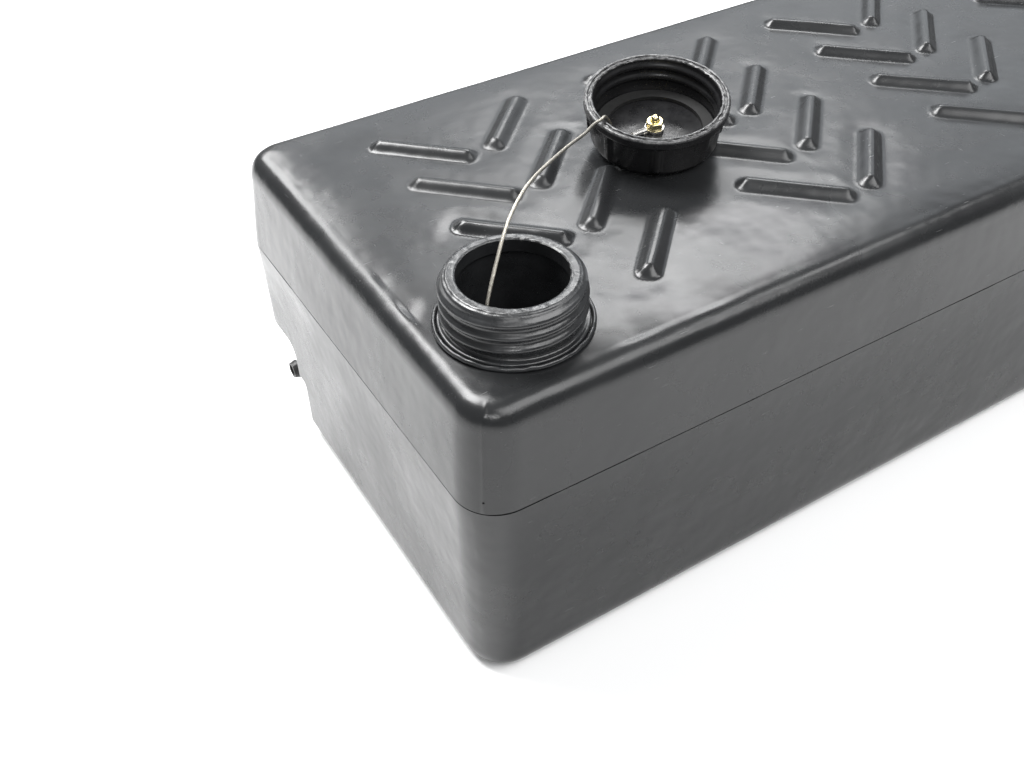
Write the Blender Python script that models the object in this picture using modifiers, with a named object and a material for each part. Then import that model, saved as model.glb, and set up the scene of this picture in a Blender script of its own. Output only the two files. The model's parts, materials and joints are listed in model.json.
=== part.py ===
"""Moulded fresh water tank with a threaded filler neck, a tethered screw cap and a hose outlet.

Metres, +Z up. The origin is the middle of the footprint, on the surface that the tank stands on.
X runs along the tank, with the filler at the -X end, and Y runs from the front (-Y) to the recessed back (+Y).
"""

import math

import bmesh
import bpy
from mathutils import Matrix, Vector

# Tank
LENGTH = 0.785
WIDTH = 0.328
HEIGHT = 0.211
SEAM_HEIGHT = 0.144
WALL = 0.005
CORNER_RADIUS = 0.026
TOP_EDGE_RADIUS = 0.015
BOTTOM_EDGE_RADIUS = 0.013
UPPER_DRAFT = 0.0042
LOWER_DRAFT = 0.0008
CORNER_STEPS = 7
EDGE_STEPS = 4
WELD_HEIGHT = 0.0008
WELD_SET_BACK = 0.0006
LEDGE_HEIGHT = 0.076
RECESS_DEPTH = 0.057
STEP_HEIGHT = 0.048
STEP_DEPTH = 0.010

# Pressed ribs on the top
RIB_COLUMNS = 4
RIB_ROWS = 4
RIB_LENGTH = 0.073
RIB_WIDTH = 0.0156
RIB_TOP_WIDTH = 0.0044
RIB_HEIGHT = 0.005
RIB_END_SLOPE = 0.007
RIB_ANGLE = math.radians(45)
RIB_COLUMN_PITCH = 0.169
RIB_ROW_PITCH = 0.056
RIB_FIRST_FROM_END = 0.1317
RIB_FIRST_FROM_BACK = 0.1055
RIB_PAIR_SHIFT = (0.0129, 0.0026)

# Filler neck
NECK_FROM_END = 0.0634
NECK_FROM_FRONT = 0.0660
NECK_HEIGHT = 0.0306
LIP_RADIUS = 0.0355
LIP_BORE_RADIUS = 0.0300
LIP_DEPTH = 0.0095
NECK_BORE_RADIUS = 0.0320
THREAD_ROOT_RADIUS = 0.0374
THREAD_CREST_RADIUS = 0.0400
THREAD_PITCH = 0.0078
THREAD_FIRST = 0.0040
THREAD_TURNS = 3
FLANGE_RADIUS = 0.0412
FLANGE_THICKNESS = 0.0025
SPIGOT_RADIUS = 0.0360
SPIGOT_LENGTH = 0.0150
BEAD_WIDTH = 0.0026
BEAD_HEIGHT = 0.0026

# Filler cap, in its own frame: the closed side down, the open side up
CAP_FROM_NECK = (0.1711, 0.1055)
CAP_LIFT = 0.0011
CAP_LEAN = math.radians(9.2)
CAP_LEAN_AZIMUTH = math.radians(235.6)
CAP_HEIGHT = 0.030
CAP_BASE_RADIUS = 0.0390
CAP_CHAMFER = 0.0020
CAP_BODY_RADIUS = 0.0430
CAP_RIM_RADIUS = 0.0460
CAP_RIM_HEIGHT = 0.0065
CAP_BORE_RADIUS = 0.0404
CAP_THREAD_CREST = 0.0386
CAP_FLOOR_BORE = 0.0388
CAP_FLOOR = 0.0040
CAP_THREAD_FIRST = 0.0115
CAP_THREAD_TURNS = 2
CAP_LUGS = 8
CAP_LUG_WIDTH = 0.0050
CAP_LUG_PROUD = 0.0018
CAP_LUG_START = 0.0045
CAP_LUG_AZIMUTH = math.radians(10)
CAP_SEAL_INNER = 0.0310
CAP_SEAL_THICKNESS = 0.0025

# Cap bolt and what is on it
BOLT_RADIUS = 0.0030
BOLT_TIP_HEIGHT = 0.0155
BOLT_HEAD_FLATS = 0.010
BOLT_HEAD_HEIGHT = 0.0034
WASHER_THICKNESS = 0.0008
OUTER_WASHER_RADIUS = 0.0075
INNER_WASHER_RADIUS = 0.0062
NUT_HEIGHT = 0.0046

# Tether
CABLE_DIAMETER = 0.0020
TERMINAL_THICKNESS = 0.0010
TERMINAL_RADIUS = 0.0058
BARREL_RADIUS = 0.0019
BARREL_START = 0.0070
BARREL_END = 0.0165
CABLE_ARCH_FROM_NECK = (
    (-0.0252, -0.0150, 0.0180),
    (-0.0237, -0.0140, 0.0270),
    (-0.0184, -0.0100, 0.0360),
    (-0.0124, -0.0054, 0.0440),
    (-0.0064, -0.0009, 0.0515),
    (0.0006, 0.0045, 0.0575),
    (0.0096, 0.0112, 0.0614),
    (0.0201, 0.0192, 0.0630),
    (0.0321, 0.0283, 0.0619),
    (0.0461, 0.0389, 0.0588),
    (0.0621, 0.0510, 0.0546),
    (0.0791, 0.0639, 0.0496),
    (0.0961, 0.0768, 0.0439),
)
CAP_TERMINAL_AZIMUTH = math.radians(176)
ANCHOR_AZIMUTH = math.radians(211)
ANCHOR_BELOW_TOP = 0.0125
RIVET_RADIUS = 0.0020
RIVET_HEAD_RADIUS = 0.0042
RIVET_HEAD_HEIGHT = 0.0014

# Outlet
OUTLET_FROM_END = 0.0360
OUTLET_HEIGHT = 0.0412
OUTLET_STAND_OFF = 0.0260
OUTLET_TAIL_END = 0.0010
INSERT_RADIUS = 0.0140
INSERT_BORE = 0.0105
INSERT_LENGTH = 0.0150
INSERT_PROUD = 0.0015
SPIGOT_GAP = 0.0003
ELBOW_RADIUS = 0.0088
ELBOW_BORE = 0.0045
TAIL_RADIUS = 0.0061
BARB_RADIUS = 0.0071
BARB_COUNT = 4
BARB_PITCH = 0.0050
SEAL_RADIUS = 0.0132
SEAL_THICKNESS = 0.0020
LOCK_NUT_FLATS = 0.0240
LOCK_NUT_HEIGHT = 0.0055

# Gap kept between touching pieces, and how far a cutter runs past what it cuts
GAP = 0.0003
PAST = 0.010

HALF_LENGTH = LENGTH / 2
HALF_WIDTH = WIDTH / 2
SHELL_TOP_SEAM = SEAM_HEIGHT + WELD_HEIGHT / 2 + GAP
SHELL_LOW_SEAM = SEAM_HEIGHT - WELD_HEIGHT / 2 - GAP
NECK_CENTRE = Vector((NECK_FROM_END - HALF_LENGTH, NECK_FROM_FRONT - HALF_WIDTH, HEIGHT))
RECESS_WALL_Y = HALF_WIDTH - RECESS_DEPTH - STEP_DEPTH
OUTLET_X = OUTLET_FROM_END - HALF_LENGTH
OUTLET_AXIS_Y = RECESS_WALL_Y + OUTLET_STAND_OFF

COLOURS = {
    "tank_plastic": ((0.058, 0.062, 0.068, 1), 0.38, 0.0),
    "neck_plastic": ((0.050, 0.054, 0.060, 1), 0.42, 0.0),
    "weld_plastic": ((0.020, 0.021, 0.023, 1), 0.60, 0.0),
    "cap_plastic": ((0.010, 0.010, 0.011, 1), 0.35, 0.0),
    "seal_rubber": ((0.018, 0.018, 0.018, 1), 0.70, 0.0),
    "brass": ((0.78, 0.62, 0.30, 1), 0.25, 1.0),
    "steel": ((0.62, 0.61, 0.58, 1), 0.30, 1.0),
    "cable_steel": ((0.50, 0.48, 0.44, 1), 0.40, 1.0),
    "fitting_plastic": ((0.012, 0.012, 0.012, 1), 0.45, 0.0),
}


def clear_scene():
    for obj in list(bpy.data.objects):
        bpy.data.objects.remove(obj)


def make_collection(name, hidden=False):
    collection = bpy.data.collections.new(name)
    bpy.context.scene.collection.children.link(collection)
    collection.hide_render = hidden
    return collection


def make_material(name):
    colour, roughness, metallic = COLOURS[name]
    material = bpy.data.materials.new(name)
    material.use_nodes = True
    shader = material.node_tree.nodes["Principled BSDF"]
    shader.inputs["Base Color"].default_value = colour
    shader.inputs["Roughness"].default_value = roughness
    shader.inputs["Metallic"].default_value = metallic
    return material


clear_scene()
PARTS = make_collection("fresh_water_tank")
CUTTERS = make_collection("cutters", hidden=True)
MATERIALS = {name: make_material(name) for name in COLOURS}


def add_mesh(name, bm, material=None, parent=None, smooth=False):
    """Puts the bmesh into the scene as a part, or as a cutter if it has no material."""
    bmesh.ops.recalc_face_normals(bm, faces=bm.faces)
    mesh = bpy.data.meshes.new(name)
    bm.to_mesh(mesh)
    bm.free()
    obj = bpy.data.objects.new(name, mesh)
    obj.parent = parent
    if material:
        mesh.materials.append(MATERIALS[material])
        PARTS.objects.link(obj)
    else:
        CUTTERS.objects.link(obj)
        obj.hide_render = True
        obj.display_type = "WIRE"
    if smooth:
        mesh.shade_smooth()
        mesh.set_sharp_from_angle(angle=math.radians(35))
    return obj


def boolean(obj, other, operation="DIFFERENCE"):
    modifier = obj.modifiers.new(other.name, "BOOLEAN")
    modifier.operation = operation
    modifier.object = other
    return modifier


def box(bm, low, high):
    """Adds a box between two corners and returns its vertices."""
    low, high = Vector(low), Vector(high)
    made = bmesh.ops.create_cube(bm, size=1.0)["verts"]
    bmesh.ops.scale(bm, vec=high - low, verts=made)
    bmesh.ops.translate(bm, vec=(low + high) / 2, verts=made)
    return made


def tub(length, width, open_z, closed_z, inset, corner_radius, edge):
    """A solid rounded box with a square end at open_z and a rounded one at closed_z, narrowed by inset."""
    way = math.copysign(1, closed_z - open_z)
    levels = [(open_z, 0.0, corner_radius)]
    for step in range(EDGE_STEPS + 1 if edge else 1):
        angle = math.pi / 2 * step / EDGE_STEPS
        pulled = edge * (1 - math.cos(angle))
        height = closed_z - way * edge * (1 - math.sin(angle))
        levels.append((height, inset + pulled, corner_radius - pulled))
    bm = bmesh.new()
    count = 4 * (CORNER_STEPS + 1)
    last = []
    for height, pulled, corner in levels:
        ring = bmesh.ops.create_circle(bm, segments=count, radius=1.0)["verts"]
        for index, vert in enumerate(ring):
            quarter, step = divmod(index, CORNER_STEPS + 1)
            angle = math.pi / 2 * (quarter + step / CORNER_STEPS)
            middle_x = (length / 2 - pulled - corner) * (1, -1, -1, 1)[quarter]
            middle_y = (width / 2 - pulled - corner) * (1, 1, -1, -1)[quarter]
            x = middle_x + corner * math.cos(angle)
            vert.co = (x, middle_y + corner * math.sin(angle), height)
        edges = [e for e in bm.edges if e.verts[0] in ring and e.verts[1] in ring]
        if last:
            bmesh.ops.bridge_loops(bm, edges=last + edges)
        last = edges
    bmesh.ops.holes_fill(bm, edges=bm.edges, sides=0)
    return bm


def recess(margin):
    """The stepped space cut from the lower back corner, grown by margin to leave a wall round it."""
    bm = bmesh.new()
    reach = HALF_LENGTH + PAST
    deep = HALF_WIDTH + PAST
    wall = HALF_WIDTH - RECESS_DEPTH - margin
    box(bm, (-reach, wall, -PAST), (reach, deep, LEDGE_HEIGHT + margin))
    inner = [
        e
        for e in bm.edges
        if all(abs(v.co.y - wall) < 1e-6 and v.co.z > 0 for v in e.verts)
    ]
    bmesh.ops.bevel(bm, geom=inner, offset=0.012, segments=4, profile=0.5, affect="EDGES")
    return bm


def recess_step(margin):
    bm = bmesh.new()
    reach = HALF_LENGTH + PAST
    low = (-reach, RECESS_WALL_Y - margin, -PAST - GAP)
    box(bm, low, (reach, HALF_WIDTH, STEP_HEIGHT + margin))
    return bm


def turned(name, profile, material=None, parent=None, steps=48, place=None):
    """A ring or disc: the closed or axis-to-axis profile (radius, height) turned about Z."""
    bm = bmesh.new()
    verts = [bm.verts.new((radius, 0.0, height)) for radius, height in profile]
    for first, second in zip(verts, verts[1:]):
        bm.edges.new((first, second))
    if profile[0][0] > 1e-6 or profile[-1][0] > 1e-6:
        bm.edges.new((verts[-1], verts[0]))
    obj = add_mesh(name, bm, material, parent)
    screw = obj.modifiers.new("turn", "SCREW")
    screw.steps = steps
    screw.render_steps = steps
    screw.use_merge_vertices = True
    screw.merge_threshold = 0.00001
    screw.use_smooth_shade = True
    if place:
        obj.location = place
    return obj


def cylinder(name, radius, low, high, material=None, parent=None, segments=32):
    bm = bmesh.new()
    bmesh.ops.create_cone(
        bm, cap_ends=True, segments=segments, radius1=radius, radius2=radius, depth=high - low
    )
    bmesh.ops.translate(bm, vec=(0, 0, (low + high) / 2), verts=bm.verts)
    return add_mesh(name, bm, material, parent)


def hexagon(name, flats, low, high, material, parent=None):
    """A hexagonal prism along Z with its top and bottom corners taken off."""
    bm = bmesh.new()
    corner = flats / 2 / math.cos(math.pi / 6)
    bmesh.ops.create_cone(
        bm, cap_ends=True, segments=6, radius1=corner, radius2=corner, depth=high - low
    )
    bmesh.ops.translate(bm, vec=(0, 0, (low + high) / 2), verts=bm.verts)
    rims = [e for e in bm.edges if abs(e.verts[0].co.z - e.verts[1].co.z) < 1e-6]
    bmesh.ops.bevel(bm, geom=rims, offset=0.0005, segments=1, affect="EDGES")
    return add_mesh(name, bm, material, parent)


def tube_mesh(name, points, radii, material=None, parent=None, resolution=4):
    """A round bar along the points with its own radius at each, as a closed mesh."""
    curve = bpy.data.curves.new(name, "CURVE")
    curve.dimensions = "3D"
    curve.bevel_depth = 1.0
    curve.bevel_resolution = resolution
    curve.use_fill_caps = True
    spline = curve.splines.new("POLY")
    spline.points.add(len(points) - 1)
    for point, co, radius in zip(spline.points, points, radii):
        point.co = (*co, 1.0)
        point.radius = radius
    guide = bpy.data.objects.new(name + "_guide", curve)
    bpy.context.scene.collection.objects.link(guide)
    graph = bpy.context.evaluated_depsgraph_get()
    mesh = bpy.data.meshes.new_from_object(guide.evaluated_get(graph))
    bm = bmesh.new()
    bm.from_mesh(mesh)
    bmesh.ops.remove_doubles(bm, verts=bm.verts, dist=0.00001)
    bpy.data.objects.remove(guide)
    bpy.data.meshes.remove(mesh)
    return add_mesh(name, bm, material, parent)


def smooth_route(points, count):
    """Evenly spaced points on a centripetal curve through the chosen ones."""
    ends = [points[0] * 2 - points[1], *points, points[-1] * 2 - points[-2]]
    fine = []
    for a, b, c, d in zip(ends, ends[1:], ends[2:], ends[3:]):
        t0 = 0.0
        t1 = t0 + math.sqrt((b - a).length)
        t2 = t1 + math.sqrt((c - b).length)
        t3 = t2 + math.sqrt((d - c).length)
        for i in range(24):
            t = t1 + (t2 - t1) * i / 24
            ab = a.lerp(b, (t - t0) / (t1 - t0))
            bc = b.lerp(c, (t - t1) / (t2 - t1))
            cd = c.lerp(d, (t - t2) / (t3 - t2))
            left = ab.lerp(bc, (t - t0) / (t2 - t0))
            right = bc.lerp(cd, (t - t1) / (t3 - t1))
            fine.append(left.lerp(right, (t - t1) / (t2 - t1)))
    fine.append(points[-1])
    lengths = [0.0]
    for a, b in zip(fine, fine[1:]):
        lengths.append(lengths[-1] + (b - a).length)
    even = []
    index = 0
    for i in range(count):
        target = lengths[-1] * i / (count - 1)
        while index < len(fine) - 2 and lengths[index + 1] < target:
            index += 1
        share = (target - lengths[index]) / (lengths[index + 1] - lengths[index])
        even.append(fine[index].lerp(fine[index + 1], share))
    return even


def add_rib(bm, tip, angle):
    """One raised bar that starts at tip and runs along angle, sunk 1 mm into the top."""
    low, high = (0, -RIB_WIDTH / 2, -0.001), (RIB_LENGTH, RIB_WIDTH / 2, RIB_HEIGHT)
    verts = box(bm, low, high)
    for vert in verts:
        if vert.co.z > 0:
            vert.co.y = math.copysign(RIB_TOP_WIDTH / 2, vert.co.y)
            vert.co.x += RIB_END_SLOPE * (1 if vert.co.x < RIB_LENGTH / 2 else -1)
    place = Matrix.Translation((*tip, HEIGHT)) @ Matrix.Rotation(angle, 4, "Z")
    bmesh.ops.transform(bm, matrix=place, verts=verts)


def rib_pattern():
    """Two bars a place, in a chevron. The bar whose place the filler takes is left out."""
    bm = bmesh.new()
    clear = FLANGE_RADIUS + GAP + BEAD_WIDTH + RIB_WIDTH / 2
    for column in range(RIB_COLUMNS):
        for row in range(RIB_ROWS):
            x = RIB_FIRST_FROM_END - HALF_LENGTH + column * RIB_COLUMN_PITCH
            y = HALF_WIDTH - RIB_FIRST_FROM_BACK - row * RIB_ROW_PITCH
            y_front = y + RIB_PAIR_SHIFT[1]
            pairs = (
                ((x, y), math.pi - RIB_ANGLE),
                ((x + RIB_PAIR_SHIFT[0], y_front), RIB_ANGLE),
            )
            for tip, angle in pairs:
                along = Vector((math.cos(angle), math.sin(angle)))
                to_neck = NECK_CENTRE.to_2d() - Vector(tip)
                nearest = min(max(to_neck.dot(along), 0), RIB_LENGTH)
                if (to_neck - along * nearest).length > clear:
                    add_rib(bm, tip, angle)
    return add_mesh("rib_pattern", bm)


def tank_shells():
    upper = tub(
        LENGTH, WIDTH, SHELL_TOP_SEAM, HEIGHT, UPPER_DRAFT, CORNER_RADIUS, TOP_EDGE_RADIUS
    )
    upper = add_mesh("tank_upper_shell", upper, "tank_plastic", smooth=True)
    cavity = tub(
        LENGTH - 2 * WALL,
        WIDTH - 2 * WALL,
        SHELL_TOP_SEAM - PAST,
        HEIGHT - WALL,
        UPPER_DRAFT,
        CORNER_RADIUS - WALL,
        TOP_EDGE_RADIUS - WALL,
    )
    boolean(upper, rib_pattern(), "UNION")
    boolean(upper, add_mesh("upper_cavity", cavity))
    hole = cylinder("neck_hole", SPIGOT_RADIUS + GAP, -2 * WALL, PAST, segments=48)
    hole.location = NECK_CENTRE
    boolean(upper, hole)

    lower = tub(
        LENGTH, WIDTH, SHELL_LOW_SEAM, 0.0, LOWER_DRAFT, CORNER_RADIUS, BOTTOM_EDGE_RADIUS
    )
    lower = add_mesh("tank_lower_shell", lower, "tank_plastic", smooth=True)
    boolean(lower, add_mesh("recess", recess(0.0)))
    boolean(lower, add_mesh("recess_step", recess_step(0.0)))
    cavity = tub(
        LENGTH - 2 * WALL,
        WIDTH - 2 * WALL,
        SHELL_LOW_SEAM + PAST,
        WALL,
        LOWER_DRAFT,
        CORNER_RADIUS - WALL,
        BOTTOM_EDGE_RADIUS - WALL,
    )
    cavity = add_mesh("lower_cavity", cavity)
    boolean(cavity, add_mesh("recess_wall", recess(WALL)))
    boolean(cavity, add_mesh("recess_step_wall", recess_step(WALL)))
    boolean(lower, cavity)
    hole = cylinder("outlet_hole", INSERT_RADIUS + GAP, -PAST - WALL, PAST, segments=32)
    hole.rotation_euler = (-math.pi / 2, 0, 0)
    hole.location = (OUTLET_X, RECESS_WALL_Y, OUTLET_HEIGHT)
    boolean(lower, hole)


def seam_weld():
    """The fused strip between the two shells, set back from the outer face."""
    low, high = SEAM_HEIGHT - WELD_HEIGHT / 2, SEAM_HEIGHT + WELD_HEIGHT / 2
    inset = 2 * WELD_SET_BACK
    outer = tub(LENGTH - inset, WIDTH - inset, low, high, 0.0, CORNER_RADIUS, 0.0)
    strip = add_mesh("seam_weld", outer, "weld_plastic", smooth=True)
    inner = tub(
        LENGTH - 2 * WALL,
        WIDTH - 2 * WALL,
        low - PAST,
        high + PAST,
        0.0,
        CORNER_RADIUS - WALL,
        0.0,
    )
    boolean(strip, add_mesh("weld_inside", inner))


def thread_rings(root, crest, first, pitch, turns):
    """Profile points of the thread as plain rings, from the top ring down."""
    points = []
    for turn in reversed(range(turns)):
        middle = first + turn * pitch + pitch / 2
        points.append((root, middle + 0.34 * pitch))
        points.append((crest, middle + 0.12 * pitch))
        points.append((crest, middle - 0.12 * pitch))
        points.append((root, middle - 0.34 * pitch))
    return points


def filler_neck():
    low = -WALL - SPIGOT_LENGTH
    profile = [
        (LIP_BORE_RADIUS, NECK_HEIGHT),
        (LIP_RADIUS, NECK_HEIGHT),
        (THREAD_ROOT_RADIUS, NECK_HEIGHT - 0.0015),
        *thread_rings(
            THREAD_ROOT_RADIUS, THREAD_CREST_RADIUS, THREAD_FIRST, THREAD_PITCH, THREAD_TURNS
        ),
        (THREAD_ROOT_RADIUS, FLANGE_THICKNESS),
        (FLANGE_RADIUS, FLANGE_THICKNESS),
        (FLANGE_RADIUS, GAP),
        (SPIGOT_RADIUS, GAP),
        (SPIGOT_RADIUS, low),
        (NECK_BORE_RADIUS, low),
        (NECK_BORE_RADIUS, NECK_HEIGHT - LIP_DEPTH),
        (LIP_BORE_RADIUS, NECK_HEIGHT - LIP_DEPTH + 0.0010),
    ]
    neck = turned("filler_neck", profile, "neck_plastic", place=NECK_CENTRE, steps=56)
    hole = cylinder("rivet_hole", RIVET_RADIUS + GAP, -PAST, PAST, segments=16)
    hole.rotation_euler = (0, math.pi / 2, ANCHOR_AZIMUTH)
    along = Vector((math.cos(ANCHOR_AZIMUTH), math.sin(ANCHOR_AZIMUTH), 0))
    hole.location = NECK_CENTRE + along * NECK_BORE_RADIUS - Vector((0, 0, ANCHOR_BELOW_TOP))
    boolean(neck, hole)
    inner = FLANGE_RADIUS + GAP
    outer = inner + BEAD_WIDTH
    bead = [
        (inner, BEAD_HEIGHT * 0.6),
        ((inner + outer) / 2, BEAD_HEIGHT),
        (outer, BEAD_HEIGHT * 0.6),
        (outer, GAP),
        (inner, GAP),
    ]
    turned("neck_weld_bead", bead, "weld_plastic", place=NECK_CENTRE, steps=56)


def cap_frame():
    """An empty at the middle of the cap's closed side, with +Z out of the cap's open side."""
    frame = bpy.data.objects.new("cap_frame", None)
    PARTS.objects.link(frame)
    lift = HEIGHT + CAP_LIFT + CAP_BASE_RADIUS * math.sin(CAP_LEAN)
    turn = Matrix.Rotation(CAP_LEAN_AZIMUTH, 4, "Z")
    lean = turn @ Matrix.Rotation(CAP_LEAN, 4, "Y") @ turn.inverted()
    middle = NECK_CENTRE.to_2d() + Vector(CAP_FROM_NECK)
    frame.matrix_world = Matrix.Translation((*middle, lift)) @ lean
    bpy.context.view_layer.update()
    return frame


def filler_cap(frame):
    rim_low = CAP_HEIGHT - CAP_RIM_HEIGHT
    rings = thread_rings(
        CAP_BORE_RADIUS, CAP_THREAD_CREST, CAP_THREAD_FIRST, THREAD_PITCH, CAP_THREAD_TURNS
    )
    profile = [
        (CAP_BORE_RADIUS, CAP_HEIGHT),
        (CAP_RIM_RADIUS - 0.0008, CAP_HEIGHT),
        (CAP_RIM_RADIUS, CAP_HEIGHT - 0.0008),
        (CAP_RIM_RADIUS, rim_low + 0.0008),
        (CAP_RIM_RADIUS - 0.0008, rim_low),
        (CAP_BODY_RADIUS, rim_low),
        (CAP_BASE_RADIUS + CAP_CHAMFER, CAP_CHAMFER),
        (CAP_BASE_RADIUS, 0.0),
        (BOLT_RADIUS + GAP, 0.0),
        (BOLT_RADIUS + GAP, CAP_FLOOR),
        (CAP_FLOOR_BORE, CAP_FLOOR),
        (CAP_BORE_RADIUS, CAP_FLOOR + 2 * CAP_SEAL_THICKNESS),
        *reversed(rings),
    ]
    cap = turned("filler_cap", profile, "cap_plastic", frame, steps=64)
    bm = bmesh.new()
    inner = CAP_BODY_RADIUS - 0.0015
    for index in range(CAP_LUGS):
        outer = CAP_BODY_RADIUS + CAP_LUG_PROUD
        low = (inner - 0.001, -CAP_LUG_WIDTH / 2, CAP_LUG_START)
        verts = box(bm, low, (outer, CAP_LUG_WIDTH / 2, rim_low + 0.002))
        turn = Matrix.Rotation(CAP_LUG_AZIMUTH + index * 2 * math.pi / CAP_LUGS, 4, "Z")
        bmesh.ops.transform(bm, matrix=turn, verts=verts)
    boolean(cap, add_mesh("cap_lugs", bm, parent=frame), "UNION")
    outer = CAP_FLOOR_BORE - GAP
    low = CAP_FLOOR + GAP
    high = low + CAP_SEAL_THICKNESS
    seal = [(CAP_SEAL_INNER, high), (outer, high), (outer, low), (CAP_SEAL_INNER, low)]
    turned("cap_seal", seal, "seal_rubber", frame, steps=64)


def flat_ring(name, inner, outer, low, high, material, parent, steps=32):
    profile = [(inner, high), (outer, high), (outer, low), (inner, low)]
    return turned(name, profile, material, parent, steps)


def ring_terminal(name, parent, material, place=None):
    """A flat eye round Z with a crimp barrel along +X for the cable's end."""
    hole = BOLT_RADIUS + GAP if parent else RIVET_RADIUS + GAP
    eye = cylinder(name, TERMINAL_RADIUS, 0.0, TERMINAL_THICKNESS, material, parent)
    bm = bmesh.new()
    box(bm, (0.003, -0.0018, 0.0), (BARREL_START + 0.002, 0.0018, TERMINAL_THICKNESS))
    tongue = add_mesh(name + "_tongue", bm, parent=parent)
    points = [(BARREL_START, 0, BARREL_RADIUS), (BARREL_END, 0, BARREL_RADIUS)]
    barrel = tube_mesh(name + "_barrel", points, [BARREL_RADIUS] * 2, parent=parent)
    bore_points = [
        (BARREL_START + 0.0015, 0, BARREL_RADIUS),
        (BARREL_END + 0.002, 0, BARREL_RADIUS),
    ]
    bore_radius = CABLE_DIAMETER / 2 + GAP
    bore = tube_mesh(name + "_bore", bore_points, [bore_radius] * 2, parent=parent)
    cut = cylinder(name + "_hole", hole, -PAST, PAST, parent=parent)
    boolean(eye, tongue, "UNION")
    boolean(eye, barrel, "UNION")
    boolean(eye, bore)
    boolean(eye, cut)
    pieces = (eye, tongue, barrel, bore, cut)
    if place:
        for piece in pieces:
            piece.matrix_local = place
    return eye


def cap_hardware(frame):
    """The bolt through the cap, from its head below the closed side to its tip inside."""
    head_high = -GAP - WASHER_THICKNESS - GAP
    head_low = head_high - BOLT_HEAD_HEIGHT
    bolt = hexagon("cap_bolt", BOLT_HEAD_FLATS, head_low, head_high, "brass", frame)
    tip = BOLT_TIP_HEIGHT
    shank = [
        (0.0, tip),
        (BOLT_RADIUS * 0.55, tip - 0.0004),
        (BOLT_RADIUS * 0.9, tip - 0.0014),
        (BOLT_RADIUS, tip - 0.0026),
        (BOLT_RADIUS, head_high - 0.001),
        (0.0, head_high - 0.001),
    ]
    boolean(bolt, turned("bolt_shank", shank, parent=frame, steps=24), "UNION")
    hole = BOLT_RADIUS + GAP
    low = -GAP - WASHER_THICKNESS
    flat_ring("cap_outer_washer", hole, OUTER_WASHER_RADIUS, low, -GAP, "seal_rubber", frame)
    eye_low = CAP_FLOOR + GAP
    turn = Matrix.Rotation(CAP_TERMINAL_AZIMUTH, 4, "Z")
    place = Matrix.Translation((0, 0, eye_low)) @ turn
    ring_terminal("cap_terminal", frame, "steel", place)
    low = eye_low + TERMINAL_THICKNESS + GAP
    high = low + WASHER_THICKNESS
    flat_ring("cap_inner_washer", hole, INNER_WASHER_RADIUS, low, high, "brass", frame)
    low = high + GAP
    nut = hexagon("cap_nut", BOLT_HEAD_FLATS, low, low + NUT_HEIGHT, "brass", frame)
    boolean(nut, cylinder("nut_hole", hole, -PAST, 3 * PAST, parent=frame))


def anchor():
    """The rivet through the neck's spigot and the cable's lower terminal, which points up the bore."""
    outward = Vector((math.cos(ANCHOR_AZIMUTH), math.sin(ANCHOR_AZIMUTH), 0))
    axes = Matrix((Vector((0, 0, 1)), outward.cross((0, 0, 1)) * -1, -outward)).transposed()
    if axes.determinant() < 0:
        axes.col[1] *= -1
    centre = NECK_CENTRE + outward * (NECK_BORE_RADIUS - GAP) - Vector((0, 0, ANCHOR_BELOW_TOP))
    centre -= outward * 0.0006
    place = Matrix.Translation(centre) @ axes.to_4x4()
    ring_terminal("anchor_terminal", None, "steel", place)
    head_low = TERMINAL_THICKNESS + GAP
    head_high = head_low + RIVET_HEAD_HEIGHT
    wall = SPIGOT_RADIUS - NECK_BORE_RADIUS + 2 * GAP + 0.0010
    profile = [
        (0.0, head_high),
        (RIVET_HEAD_RADIUS * 0.6, head_high - 0.0002),
        (RIVET_HEAD_RADIUS, head_low + 0.0003),
        (RIVET_HEAD_RADIUS, head_low),
        (RIVET_RADIUS, head_low),
        (RIVET_RADIUS, -wall),
        (RIVET_HEAD_RADIUS, -wall),
        (RIVET_HEAD_RADIUS * 0.8, -wall - RIVET_HEAD_HEIGHT),
        (0.0, -wall - RIVET_HEAD_HEIGHT),
    ]
    rivet = turned("anchor_rivet", profile, "steel", steps=24)
    rivet.matrix_local = place
    return place @ Vector((BARREL_END + GAP, 0, BARREL_RADIUS))


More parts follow.
